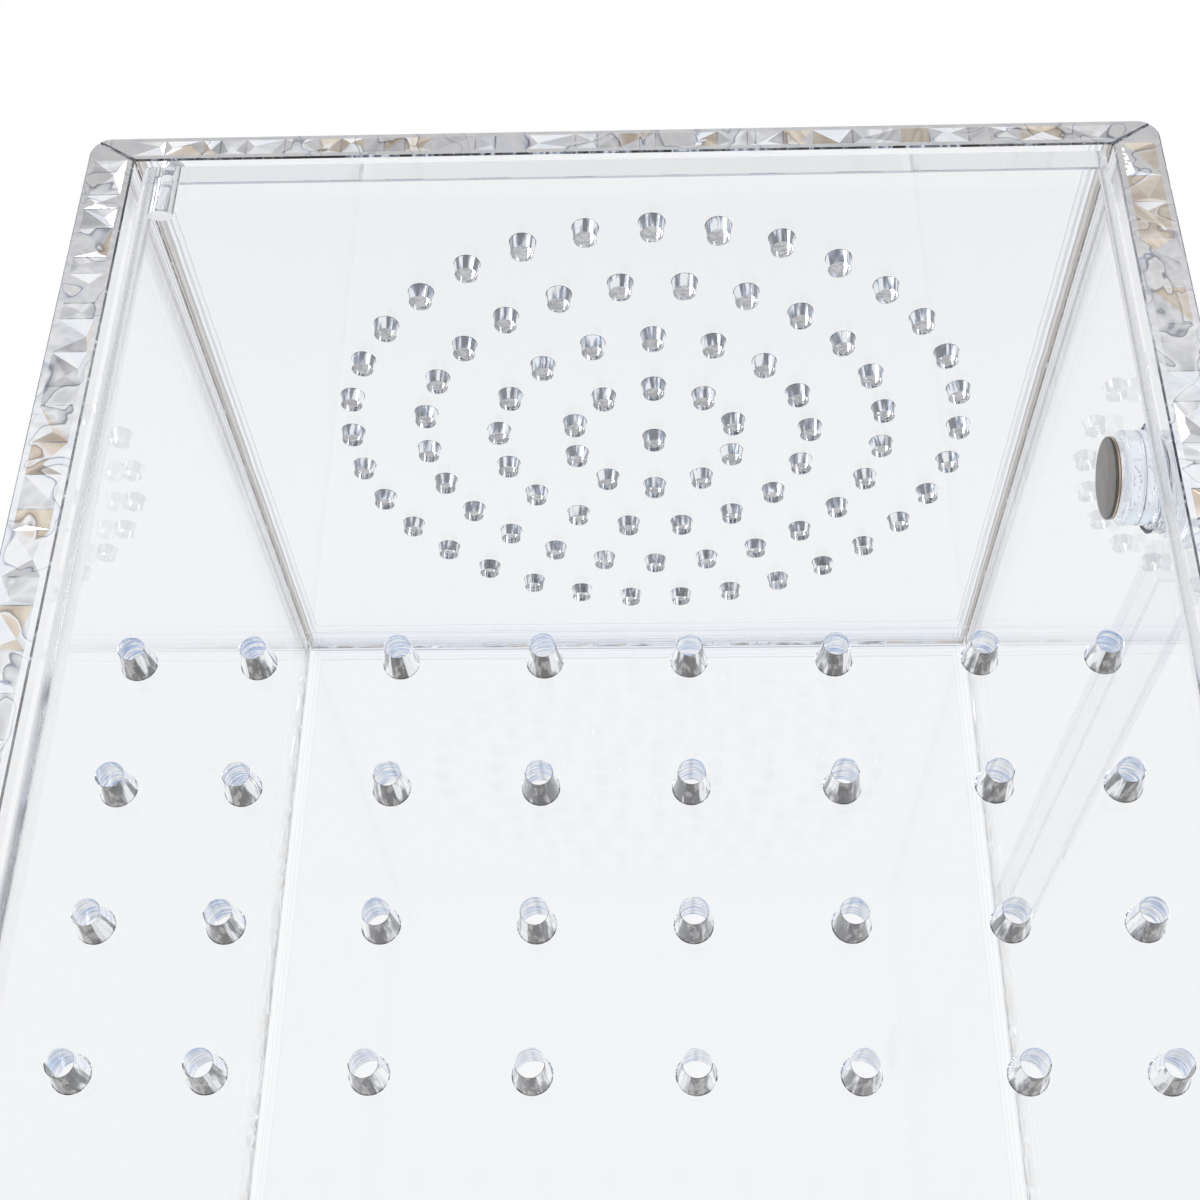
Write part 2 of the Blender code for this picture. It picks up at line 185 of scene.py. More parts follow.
# Colours of a joint's lines, by their share of the reach from the inner edge. The brown-grey next to the
# edge is the glue's own tone; the white bands and thin dark, grey and blue lines are painted glow and
# painted reflections of the joint's edge seen through the sheet
DARK_JOINT_PAINTED_REFLECTIONS = [
    (0.0, (0.30, 0.28, 0.27)), (0.04, (0.50, 0.47, 0.44)), (0.15, (0.47, 0.43, 0.40)),
    (0.19, (0.25, 0.25, 0.27)), (0.24, (1, 1, 1)), (0.36, (0.96, 0.98, 1.0)), (0.42, (0.40, 0.43, 0.50)),
    (0.47, (0.84, 0.86, 0.89)), (0.70, (0.90, 0.91, 0.93)), (0.78, (0.50, 0.53, 0.60)),
    (0.84, (0.97, 0.98, 1.0)), (0.92, SHEET_TINT)]
LIGHT_JOINT_PAINTED_GLOW = [
    (0.0, (0.70, 0.73, 0.79)), (0.06, (1, 1, 1)), (0.30, (0.99, 1, 1)), (0.34, (0.72, 0.75, 0.80)),
    (0.38, (0.99, 1, 1)), (0.80, (1, 1, 1)), (0.86, (0.80, 0.83, 0.87)), (0.92, SHEET_TINT)]
BLUE_JOINT_PAINTED_REFLECTIONS = [
    (0.0, (0.46, 0.49, 0.58)), (0.07, (0.92, 0.94, 0.98)), (0.30, (0.76, 0.80, 0.88)),
    (0.42, (0.97, 0.98, 1.0)), (0.55, (0.82, 0.85, 0.92)), (0.80, (0.93, 0.95, 0.98)),
    (0.87, (0.52, 0.55, 0.64)), (0.93, SHEET_TINT)]


def jointed_sheet(name, dark, light, blue="", level=0.5):
    """A clear sheet with the glue tone of its welded joints along its inner edges, and beside it pale, dark
    and blue lines that are painted glow and painted reflections of the joints' edges.

    Dark, light and blue name the sides of the living space that the sheet meets: x, y, z, or f
    for the floor. The level is that of its reflection.
    """
    material, graph = new_material(name)
    place = graph.node("ShaderNodeTexCoord").outputs["Object"]
    split = graph.node("ShaderNodeSeparateXYZ", {"Vector": place})
    x, y, z = (split.outputs[axis] for axis in "XYZ")
    waves = graph.node("ShaderNodeTexNoise", {"Vector": place, "Scale": 260.0, "Detail": 2.0})
    drift = graph.math("MULTIPLY", graph.math("SUBTRACT", waves.outputs[0], 0.5), 0.00022)
    ways = {"x": lambda: graph.math("SUBTRACT", INNER_HALF_WIDTH, graph.math("ABSOLUTE", x)),
            "y": lambda: graph.math("SUBTRACT", HALF_DEPTH - SHEET, y),
            "z": lambda: graph.math("SUBTRACT", CEILING, z),
            "f": lambda: graph.math("SUBTRACT", z, SHEET)}
    colour, least = None, None
    for edges, stops in ((dark, DARK_JOINT_PAINTED_REFLECTIONS), (light, LIGHT_JOINT_PAINTED_GLOW), (blue, BLUE_JOINT_PAINTED_REFLECTIONS)):
        nearest = None
        for edge in edges:
            way = graph.math("ABSOLUTE", ways[edge]())
            nearest = way if nearest is None else graph.math("MINIMUM", nearest, way)
        if nearest is None:
            continue
        reach = graph.math("DIVIDE", graph.math("ADD", nearest, drift), JOINT_REACH)
        # Painted glow and painted reflections of the joint's edge, laid into the sheet's tint
        lines = graph.ramp(reach, stops)
        if colour is None:
            colour, least = lines, nearest
        else:
            closer = graph.math("LESS_THAN", nearest, least)
            colour = graph.node("ShaderNodeMix", {0: closer, 6: colour, 7: lines},
                                data_type="RGBA").outputs[2]
            least = graph.math("MINIMUM", nearest, least)
    shader = graph.node("ShaderNodeBsdfPrincipled", {
        "Base Color": colour, "Roughness": 0.0, "IOR": ACRYLIC_IOR, "Transmission Weight": 1.0,
        "Specular IOR Level": level})
    graph.surface(shader)
    return material


def glue_line(name, tones, stretch):
    """The welded face of a joint: light goes straight on through it, tinted by drawn-out streaks."""
    material, graph = new_material(name)
    streaks = graph.drawn_out_noise(stretch, 4.0)
    colour = graph.ramp(streaks, list(zip((0.30, 0.45, 0.55, 0.66, 0.75), tones)))
    shader = graph.node("ShaderNodeBsdfPrincipled", {
        "Base Color": colour, "Roughness": 0.0, "IOR": STRAIGHT_THROUGH_IOR, "Transmission Weight": 1.0})
    graph.surface(shader)
    return material


def painted_light_facet(name, tints, roughness, metallic):
    """One tone of a sawn edge's facets, as painted reflection: cloudy, with curved dark lines of painted
    shade and white lines of painted highlight through it.
    """
    material, graph = new_material(name)
    place = graph.node("ShaderNodeTexCoord").outputs["Object"]
    cloud = graph.node("ShaderNodeTexNoise", {"Vector": place, "Scale": 170.0, "Detail": 2.0,
                                              "Distortion": 0.9})
    # Painted reflection: the cloudy tints, white highlight lines and dark lines stand in for what the sawn
    # edge reflects and bends
    colour = graph.ramp(cloud.outputs[0], [
        (0.34, tints[1]), (0.45, tints[0]), (0.47, (1, 1, 1)), (0.478, tints[2]), (0.49, tints[1]),
        (0.55, tints[0]), (0.66, tints[1]), (0.70, tints[0])])
    ripple = graph.node("ShaderNodeTexNoise", {"Vector": place, "Scale": 700.0, "Detail": 1.0})
    bump = graph.node("ShaderNodeBump", {"Strength": 0.3, "Distance": 0.0001,
                                         "Height": ripple.outputs[0]})
    shader = graph.node("ShaderNodeBsdfPrincipled", {
        "Base Color": colour, "Roughness": roughness, "IOR": ACRYLIC_IOR,
        "Transmission Weight": 0.5, "Metallic": metallic, "Normal": bump.outputs[0]})
    graph.surface(shader)
    return material


def bore_wall(name, tints, stretch, metallic, strength):
    """A drilled wall: bumped along its tool marks, with streaks of painted reflection in its colour along
    them and a metallic share, as bright as such walls look in clear sheet.
    """
    material, graph = new_material(name)
    marks = graph.drawn_out_noise(stretch, 3.0)
    # Painted reflection: dark and pale streaks of colour along the tool marks
    colour = graph.ramp(marks, [(0.43, tints[0]), (0.5, tints[1]), (0.57, tints[2])])
    bump = graph.node("ShaderNodeBump", {"Strength": strength, "Distance": 0.0001, "Height": marks})
    shader = graph.node("ShaderNodeBsdfPrincipled", {
        "Base Color": colour, "Roughness": 0.05, "IOR": ACRYLIC_IOR, "Transmission Weight": 1.0,
        "Metallic": metallic, "Normal": bump.outputs[0]})
    graph.surface(shader)
    return material


def plating(name, tints, roughness, speckle):
    """Satin or bright nickel, with specks where the plating is worn."""
    material, graph = new_material(name)
    place = graph.node("ShaderNodeTexCoord").outputs["Object"]
    cloud = graph.node("ShaderNodeTexNoise", {"Vector": place, "Scale": 700.0, "Detail": 3.0})
    colour = graph.ramp(cloud.outputs[0], [(0.35, tints[0]), (0.65, tints[1])])
    dots = graph.node("ShaderNodeTexVoronoi", {"Vector": place, "Scale": 900.0})
    spots = graph.node("ShaderNodeMapRange", {0: dots.outputs["Distance"], 1: 0.0, 2: speckle,
                                              3: 0.35, 4: 1.0})
    chance = graph.node("ShaderNodeSeparateColor", {0: dots.outputs["Color"]}).outputs[0]
    rare = graph.math("GREATER_THAN", chance, 0.12)
    level = graph.math("MAXIMUM", spots.outputs[0], rare)
    shade = graph.node("ShaderNodeMix", {0: 1.0, 6: colour, 7: level}, data_type="RGBA",
                       blend_type="MULTIPLY")
    grain = graph.node("ShaderNodeTexNoise", {"Vector": place, "Scale": 6000.0, "Detail": 2.0})
    rough = graph.node("ShaderNodeMapRange", {0: grain.outputs[0], 3: roughness - 0.06,
                                              4: roughness + 0.06})
    bump = graph.node("ShaderNodeBump", {"Strength": 0.12, "Distance": 0.00002,
                                         "Height": grain.outputs[0]})
    shader = graph.node("ShaderNodeBsdfPrincipled", {
        "Base Color": shade.outputs[2], "Roughness": rough.outputs[0], "Metallic": 1.0,
        "Normal": bump.outputs[0]})
    graph.surface(shader)
    return material


def fitting_acrylic(name, tint, strength):
    """Clear rod or bar, with faint drawing marks that bend what is seen through it."""
    return acrylic(name, tint, 0.0, (1, 1, 1), bore_marks((500, 500, 500), strength))


def inset(outline, distance):
    """A convex counter-clockwise outline, moved inwards."""
    moved = []
    count = len(outline)
    for index in range(count):
        before, here, after = (Vector(outline[(index + step) % count]) for step in (-1, 0, 1))
        one, two = (here - before).normalized(), (after - here).normalized()
        bend = (Vector((-one.y, one.x)) + Vector((-two.y, two.x)))
        if bend.length < 1e-9:
            bend = Vector((-one.y, one.x))
        bend.normalize()
        reach = distance / max(bend.dot(Vector((-one.y, one.x))), 0.3)
        moved.append(tuple(here + bend * reach))
    return moved


def arc(middle, radius, start, end, steps):
    points = []
    for step in range(steps + 1):
        angle = math.radians(start + (end - start) * step / steps)
        points.append((middle[0] + radius * math.cos(angle), middle[1] + radius * math.sin(angle)))
    return points


def circle(middle, radius, sides):
    return [(middle[0] + radius * math.cos(2 * math.pi * n / sides),
             middle[1] + radius * math.sin(2 * math.pi * n / sides)) for n in range(sides)]


def fill(form, boundary, holes, place, slot, window=None):
    """A flat face with round holes and one window, where place turns a flat point into one in space."""
    points = [Vector(p) for p in boundary]
    loops = [list(range(len(points)))]
    if window:
        loops.append(list(range(len(points), len(points) + len(window))))
        points += [Vector(p) for p in window]
        left, right = min(u for u, _ in window), max(u for u, _ in window)
        bottom, top = min(v for _, v in window), max(v for _, v in window)
    for middle, radius, sides in holes:
        first = len(points)
        points += [Vector(p) for p in circle(middle, radius, sides)]
        loops.append(list(range(first, len(points))))
    edges = [(loop[n - 1], loop[n]) for loop in loops for n in range(len(loop))]
    flat, _, triangles, _, _, _ = delaunay_2d_cdt(points, edges, [], 0, 1e-9)
    made = [form.verts.new(place(*p)) for p in flat]
    for triangle in triangles:
        centre = sum((flat[n] for n in triangle), Vector((0, 0))) / 3
        if any((centre - Vector(middle)).length < radius * math.cos(math.pi / sides) * 0.999
               for middle, radius, sides in holes):
            continue
        if window and left < centre.x < right and bottom < centre.y < top:
            continue
        form.faces.new([made[n] for n in triangle]).material_index = slot


def bore(form, rings, slot, closed=False, turn=None):
    """Walls between rings of points, with a flat end on the last one where closed.

    Where a turn in degrees is given, the walls close to it take the painted shade material and those
    of the half that faces away from it the painted highlight one.
    """
    lines = [[form.verts.new(point) for point in ring] for ring in rings]
    for low, high in zip(lines, lines[1:]):
        for n in range(len(low)):
            face = form.faces.new((low[n - 1], low[n], high[n], high[n - 1]))
            face.material_index, face.smooth = slot, True
            if turn is not None:
                away = abs(((n - 0.5) * 360 / len(low) - turn + 180) % 360 - 180)
                # Painted shade on the walls facing the turn, painted highlight on the half facing away
                face.material_index = PAINTED_SHADE_BORE if away < 24 else slot if away < 92 else PAINTED_HIGHLIGHT_BORE
    if closed:
        form.faces.new(lines[-1]).material_index = slot


def stations(start, end, seed):
    """Places along a sawn edge where one run of facets ends and the next begins, in pairs."""
    chance = random.Random(seed)
    places = [start]
    while places[-1] < end - 0.0048:
        places.append(places[-1] + chance.uniform(0.0016, 0.0044))
        places.append(places[-1] + chance.uniform(0.00008, 0.00018))
    return places + [end]


def facets(form, places, bottom, top, plane, inward, seed, deepest):
    """Shallow hollows with flat sides, one between each pair of places, with thin lines of painted shade
    between; each side takes one of the painted reflection tones at random.
    """
    chance = random.Random(seed + 1)

    def face(points, slot):
        made = form.faces.new([form.verts.new((u, v, plane + inward * deep)) for u, v, deep in points])
        made.material_index = slot

    for number, (a, b) in enumerate(zip(places, places[1:])):
        corners = [(a, bottom, 0), (b, bottom, 0), (b, top, 0), (a, top, 0)]
        if number % 2:
            face(corners, PAINTED_SHADE_FACET_LINE)
            continue
        # Clear, grey and beige: painted reflection tones
        clear, grey, beige = PAINTED_REFLECTION_TONES
        tone = chance.choice((clear, clear, grey, grey, beige, beige))
        kind = chance.random()
        if kind < 0.25:
            sides = [corners[:3], (corners[2], corners[3], corners[0])]
        elif kind < 0.6:
            peak = (a + (b - a) * chance.uniform(0.12, 0.88),
                    bottom + (top - bottom) * chance.uniform(0.08, 0.92),
                    chance.uniform(0.2, 1.0) * deepest)
            sides = [(corners[n - 1], corners[n], peak) for n in range(4)]
        else:
            one, two = ((a + (b - a) * share, bottom + (top - bottom) * chance.uniform(0.1, 0.9),
                         chance.uniform(0.2, 1.0) * deepest)
                        for share in (chance.uniform(0.15, 0.45), chance.uniform(0.55, 0.85)))
            sides = [(corners[3], corners[0], one), (corners[1], corners[2], two),
                     (corners[0], corners[1], two), (corners[0], two, one),
                     (corners[2], corners[3], one), (corners[2], one, two)]
        for side in sides:
            face(side, tone if chance.random() < 0.65 else chance.choice((clear, clear, grey, beige)))


def finish_mesh(name, form, materials, matrix, body, stands_for):
    """Close the mesh and let it ride and stand for its CAD node.

    Broad faces stay flat: smoothed, they would bend what is seen through them.
    """
    bmesh.ops.remove_doubles(form, verts=form.verts, dist=2e-7)
    bmesh.ops.recalc_face_normals(form, faces=form.faces)
    if form.calc_volume(signed=True) < 0:
        bmesh.ops.reverse_faces(form, faces=form.faces)
    mesh = bpy.data.meshes.new(name)
    form.to_mesh(mesh)
    round_faces = [face.smooth for face in form.faces]
    form.free()
    for material in materials:
        mesh.materials.append(material)
    mesh.set_sharp_from_angle(angle=math.radians(32))
    mesh.polygons.foreach_set("use_smooth", round_faces)
    piece = bpy.data.objects.new(name, mesh)
    bpy.context.scene.collection.objects.link(piece)
    mesh.transform(matrix)
    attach(piece, body)
    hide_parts(stands_for)
    return piece


def panel(name, outline, length, matrix, body, materials, stands_for,
          vents=(), near_holes=(), end_holes=(), small=EDGE_CHAMFER, cut=None, turn=None,
          rounding=FACE):
    """A sheet: a convex outline in (u, v), drawn out along w, with chamfered ends.

    The materials are those of its faces, ends, bores, chamfers and narrow long sides, and the
    rounding is the number of the one on rounded long edges. A cut is
    ((lowest u, highest u, lowest v, highest v), seed) of the facets in the middle of each end,
    whose three tones of painted reflection and lines of painted shade are the next four materials, and the
    two after them are the bores' painted highlight and painted shade, placed by a turn.

    Vents are ((u, w), near radius, far radius, sides) and run through from the lowest v to the
    highest. Near holes are blind, in the face of lowest v; end holes are blind, in the cut ends.
    """
    form = bmesh.new()
    levels = [(-length / 2, small), (-length / 2 + small, 0), (length / 2 - small, 0), (length / 2, small)]
    rings = [(w, inset(outline, by) if by else list(outline)) for w, by in levels]
    low, high = min(v for _, v in outline), max(v for _, v in outline)
    rim = 0.00005
    for index in range(3):
        (w0, ring0), (w1, ring1) = rings[index], rings[index + 1]
        for n in range(len(outline)):
            a, b, c, d = ring0[n - 1], ring0[n], ring1[n], ring1[n - 1]
            face_v = None
            if index == 1 and abs(a[0] - b[0]) > min(length / 4, 0.05):
                if abs(a[1] - low) < 1e-7 and abs(b[1] - low) < 1e-7:
                    face_v = low
                elif abs(a[1] - high) < 1e-7 and abs(b[1] - high) < 1e-7:
                    face_v = high
            if face_v is None:
                corners = [(*a, w0), (*b, w0), (*c, w1), (*d, w1)]
                face = form.faces.new([form.verts.new(p) for p in corners])
                narrow = math.dist(a, b) > 0.0012
                face.material_index = CHAMFER if index != 1 else LONG_SIDE if narrow else rounding
                face.smooth = index == 1 and not narrow
                continue
            near = face_v == low
            holes = [(place, (r0 if near else r1) + rim, sides) for place, r0, r1, sides in vents]
            if near:
                holes += [(place, radius, PIN_HOLE_SIDES) for place, radius, _ in near_holes]
            boundary = [(a[0], w0), (b[0], w0), (b[0], w1), (a[0], w1)]
            fill(form, boundary, holes, lambda u, w, v=face_v: (u, v, w), FACE)
    for (w, ring), end in ((rings[0], -1), (rings[3], 1)):
        holes = [(place, radius, PIN_HOLE_SIDES) for place, radius, _ in end_holes]
        window = None
        if cut:
            (start, stop, bottom, top), seed = cut
            places = stations(start, stop, seed + end)
            window = [(u, bottom) for u in places] + [(u, top) for u in reversed(places)]
            facets(form, places, bottom, top, w, -end, seed + end, (top - bottom) * 0.13)
        fill(form, ring, holes, lambda u, v, w=w: (u, v, w), END, window)
        for place, radius, depth in end_holes:
            bore(form, [[(u, v, w - end * deep) for u, v in circle(place, radius, PIN_HOLE_SIDES)]
                        for deep in (0, depth)], END, True)
    for place, r0, r1, sides in vents:
        steps = [(low, r0 + rim), (low + rim, r0), (high - rim, r1), (high, r1 + rim)]
        bore(form, [[(u, v, w) for u, w in circle(place, radius, sides)] for v, radius in steps], BORE,
             turn=turn)
    for place, radius, depth in near_holes:
        bore(form, [[(u, v, w) for u, w in circle(place, radius, PIN_HOLE_SIDES)]
                    for v in (low, low + depth)], END, True)
    return finish_mesh(name, form, materials, matrix, body, stands_for)


def turned(name, profile, place, direction, body, materials, stands_for, sides=64):
    """A turned piece from (radius, height, material of the step up to it) points."""
    form = bmesh.new()
    for (r0, h0, _), (r1, h1, index) in zip(profile, profile[1:]):
        for n in range(sides):
            turn = [2 * math.pi * k / sides for k in (n, n + 1)]
            corners = []
            for radius, height, angle in ((r0, h0, turn[0]), (r0, h0, turn[1]),
                                          (r1, h1, turn[1]), (r1, h1, turn[0])):
                point = (radius * math.cos(angle), radius * math.sin(angle), height)
                if not corners or (Vector(point) - Vector(corners[-1])).length > 1e-9:
                    corners.append(point)
            if (Vector(corners[0]) - Vector(corners[-1])).length < 1e-9:
                corners.pop()
            if len(corners) > 2:
                face = form.faces.new([form.verts.new(p) for p in corners])
                face.material_index, face.smooth = index, True
    turn = Vector(direction).to_track_quat("Z", "Y").to_matrix().to_4x4()
    return finish_mesh(name, form, materials, Matrix.Translation(place) @ turn, body, stands_for)


def rounded(radius, height, edge, steps=4, index=0, face=None):
    """Profile of a disc with rounded edges, from its lower middle to its upper middle."""
    face = index if face is None else face
    points = [(0, 0, face), (radius - edge, 0, face)]
    points += [(u, v, index) for u, v in arc((radius - edge, edge), edge, -90, 0, steps)][1:]
    points += [(u, v, index) for u, v in arc((radius - edge, height - edge), edge, 0, 90, steps)]
    return points + [(0, height, face)]


def make_world():
    """A studio: white sweep low down and behind the box, and a bright room with softboxes elsewhere.

    The room shows only in what the clear and plated pieces reflect or bend.
    """
    world = bpy.data.worlds.new("studio")
    bpy.context.scene.world = world
    world.use_nodes = True
    graph = Graph(world.node_tree)
    path = graph.node("ShaderNodeLightPath")
    place = graph.node("ShaderNodeTexCoord")
    split = graph.node("ShaderNodeSeparateXYZ", {"Vector": place.outputs["Generated"]})
    x, y, z = (split.outputs[axis] for axis in "XYZ")
    level = graph.math("SQRT", graph.math("ADD", graph.math("MULTIPLY", x, x),
                                          graph.math("MULTIPLY", y, y)))
    level = graph.math("MAXIMUM", level, 0.001)
    facing = graph.math("DIVIDE", y, level)
    side = graph.math("DIVIDE", x, level)

    def band(value, low, high, soft=0.04):
        """1 between two values, with soft ends."""
        rise = graph.node("ShaderNodeMapRange", {0: value, 1: low - soft, 2: low + soft},
                          interpolation_type="SMOOTHSTEP")
        fall = graph.node("ShaderNodeMapRange", {0: value, 1: high - soft, 2: high + soft, 3: 1.0, 4: 0.0},
                          interpolation_type="SMOOTHSTEP")
        return graph.math("MULTIPLY", rise.outputs[0], fall.outputs[0])

    low_sweep = band(z, -2.0, 0.16)
    back_sweep = graph.math("MULTIPLY", band(facing, 0.62, 2.0), band(z, -2.0, 0.82))
    sweep = graph.math("MAXIMUM", low_sweep, back_sweep)
    top_box = band(z, 0.93, 2.0)
    left_box = graph.math("MULTIPLY", band(side, -2.0, -0.85), band(z, 0.35, 0.75))
    right_box = graph.math("MULTIPLY", band(side, 0.93, 2.0), band(z, 0.3, 0.6))
    boxes = graph.math("MAXIMUM", graph.math("MAXIMUM", left_box, right_box), top_box)

    room = graph.ramp(z, [(0.0, (0.97, 0.97, 0.97)), (0.55, (0.93, 0.94, 0.96)), (0.68, (0.52, 0.51, 0.51)),
                          (0.75, (0.62, 0.62, 0.63)), (0.84, (0.86, 0.87, 0.89)), (1.0, (0.80, 0.81, 0.83))])
    lit = graph.node("ShaderNodeMix", {0: boxes, 6: room, 7: (0.92, 0.96, 1.0, 1)}, data_type="RGBA")
    whole = graph.node("ShaderNodeMix", {0: sweep, 6: lit.outputs[2], 7: (1, 1, 1, 1)}, data_type="RGBA")
    seen = graph.node("ShaderNodeBackground", {"Color": whole.outputs[2], "Strength": 1.0})
    backdrop = graph.node("ShaderNodeBackground", {"Color": (1, 1, 1, 1), "Strength": 1.0})
    lighting = graph.node("ShaderNodeBackground", {"Color": (0.95, 0.97, 1, 1), "Strength": 0.7})
    shiny = graph.math("MAXIMUM", path.outputs["Is Glossy Ray"], path.outputs["Is Transmission Ray"])
    first = graph.node("ShaderNodeMixShader", {0: shiny, 1: lighting.outputs[0], 2: seen.outputs[0]})
    second = graph.node("ShaderNodeMixShader", {
        0: path.outputs["Is Camera Ray"], 1: first.outputs[0], 2: backdrop.outputs[0]})
    output = graph.node("ShaderNodeOutputWorld")
    graph.put(output.inputs["Surface"], second.outputs[0])


def area_light(name, place, target, size, power, colour=(1, 1, 1)):
    data = bpy.data.lights.new(name, "AREA")
    data.shape = "RECTANGLE"
    data.size, data.size_y = size
    data.energy = power
    data.color = colour
    lamp = bpy.data.objects.new(name, data)
    lamp.location = place
    lamp.rotation_euler = (Vector(target) - Vector(place)).to_track_quat("-Z", "Y").to_euler()
    bpy.context.scene.collection.objects.link(lamp)


def make_floor():
    mesh = bpy.data.meshes.new("studio_floor")
    form = bmesh.new()
    bmesh.ops.create_grid(form, x_segments=1, y_segments=1, size=1.5)
    form.to_mesh(mesh)
    form.free()
    floor = bpy.data.objects.new("studio_floor", mesh)
    floor.location = (0, 0, -0.0002)
    bpy.context.scene.collection.objects.link(floor)
    material, graph = new_material("studio_floor")
    shader = graph.node("ShaderNodeBsdfPrincipled", {
        "Base Color": (0.86, 0.86, 0.87, 1), "Roughness": 0.7})
    path = graph.node("ShaderNodeLightPath")
    shiny = graph.math("MAXIMUM", path.outputs["Is Glossy Ray"], path.outputs["Is Transmission Ray"])
    share = graph.math("MAXIMUM", graph.math("MULTIPLY", shiny, 0.7),
                       graph.math("MULTIPLY", path.outputs["Is Camera Ray"], 0.5))
    seen = graph.node("ShaderNodeEmission", {"Color": (0.97, 0.975, 0.98, 1), "Strength": 1.0})
    mixed = graph.node("ShaderNodeMixShader", {0: share, 1: shader.outputs[0], 2: seen.outputs[0]})
    graph.surface(mixed)
    mesh.materials.append(material)


def make_camera():
    data = bpy.data.cameras.new("camera")
    data.sensor_width = 36
    data.lens = 36 * FOCAL_PIXELS / IMAGE_WIDTH
    data.clip_start = 0.005
    yaw, pitch, roll = (math.radians(a) for a in (CAMERA_YAW, CAMERA_PITCH, CAMERA_ROLL))
    ahead = Vector((math.sin(yaw) * math.cos(pitch), math.cos(yaw) * math.cos(pitch), math.sin(pitch)))
    level = Vector((math.cos(yaw), -math.sin(yaw), 0))
    above = level.cross(ahead)
    right = math.cos(roll) * level + math.sin(roll) * above
    up = -math.sin(roll) * level + math.cos(roll) * above
    turn = Matrix((right, up, -ahead)).transposed().to_4x4()
    camera = bpy.data.objects.new("camera", data)
    camera.matrix_world = Matrix.Translation(CAMERA_PLACE) @ turn
    bpy.context.scene.collection.objects.link(camera)
    bpy.context.scene.camera = camera


def mitred_end(half, thickness, neighbour):
    """Corner points of a ring panel's right end, from its inner to its outer face."""
    setback = JOINT_GAP / 2 * math.hypot(neighbour, thickness) / thickness
    start = (half - neighbour - setback, 0)
    centre = (half - CORNER_RADIUS, thickness - CORNER_RADIUS)
    away = (start[0] - centre[0], start[1] - centre[1])
    along = neighbour * away[0] + thickness * away[1]
    steepness = neighbour ** 2 + thickness ** 2
    beyond = away[0] ** 2 + away[1] ** 2 - CORNER_RADIUS ** 2
    share = (-along + math.sqrt(along ** 2 - steepness * beyond)) / steepness
    meet = (start[0] + share * neighbour, share * thickness)
    angle = math.degrees(math.atan2(meet[1] - centre[1], meet[0] - centre[0]))
    return [start] + arc(centre, CORNER_RADIUS, angle, 90, 9)


def ring_outline(span, thickness, left_neighbour, right_neighbour):
    right = mitred_end(span / 2, thickness, right_neighbour)
    left = mitred_end(span / 2, thickness, left_neighbour)
    return right + [(-u, v) for u, v in reversed(left)]


def ring_place(middle, turn):
    return (Matrix.Translation(middle) @ Matrix.Rotation(math.radians(turn), 4, "Y")
            @ Matrix.Rotation(math.radians(90), 4, "X"))


def make_ring(ceiling, side, materials):
    """Top, floor and side walls. A ring panel's local w runs to the front."""
    depth = 2 * HALF_DEPTH
    vents = [((RING_CENTRE[0], -RING_CENTRE[1]), *TOP_VENT_RADII, TOP_VENT_SIDES)]
    for radius, count, phase in RINGS:
        for number in range(count):
            angle = 2 * math.pi * (number + phase) / count
            vents.append(((RING_CENTRE[0] + radius * math.sin(angle),
                           -RING_CENTRE[1] + radius * math.cos(angle)), *TOP_VENT_RADII, TOP_VENT_SIDES))
    width = 2 * HALF_WIDTH
    pin_hole = ((PIVOT[0], -PIVOT[1]), PIN_HOLE_RADIUS, PANEL_PIN_HOLE_DEPTH)
    edge, top_edge = CUT_BORDER, TOP_CUT_BORDER
    across = INNER_HALF_WIDTH + 0.0002
    low, high = HEIGHT / 2 - SHEET, HEIGHT / 2 - TOP_SHEET
    panel("top_sheet", ring_outline(width, TOP_SHEET, SHEET, SHEET), depth,
          ring_place((0, 0, CEILING), 0), "enclosure", [ceiling] + materials, "top_panel",
          vents=vents, near_holes=[pin_hole], small=CUT_EDGE_CHAMFER,
          cut=((-across, across, top_edge, TOP_SHEET - top_edge), 11), turn=90)
    pin_hole = ((-PIVOT[0], -PIVOT[1]), PIN_HOLE_RADIUS, PANEL_PIN_HOLE_DEPTH)
    panel("floor_sheet", ring_outline(width, SHEET, SHEET, SHEET), depth,
          ring_place((0, 0, SHEET), 180), "enclosure", [ceiling] + materials, "floor_panel",
          near_holes=[pin_hole], small=CUT_EDGE_CHAMFER,
          cut=((-across, across, edge, SHEET - edge), 23))
    panel("left_sheet", ring_outline(HEIGHT, SHEET, SHEET, TOP_SHEET), depth,
          ring_place((-INNER_HALF_WIDTH, 0, HEIGHT / 2), -90), "enclosure", [side] + materials,
          "left_wall", small=CUT_EDGE_CHAMFER, cut=((-low, high, edge, SHEET - edge), 37))
    port = ((HEIGHT / 2 - PLUG_AXIS[1], -PLUG_AXIS[0]), PORT_RADIUS, PORT_RADIUS, 64)
    panel("right_sheet", ring_outline(HEIGHT, SHEET, TOP_SHEET, SHEET), depth,
          ring_place((INNER_HALF_WIDTH, 0, HEIGHT / 2), 90), "enclosure", [side] + materials,
          "right_wall", vents=[port], small=CUT_EDGE_CHAMFER,
          cut=((-high, low, edge, SHEET - edge), 53))


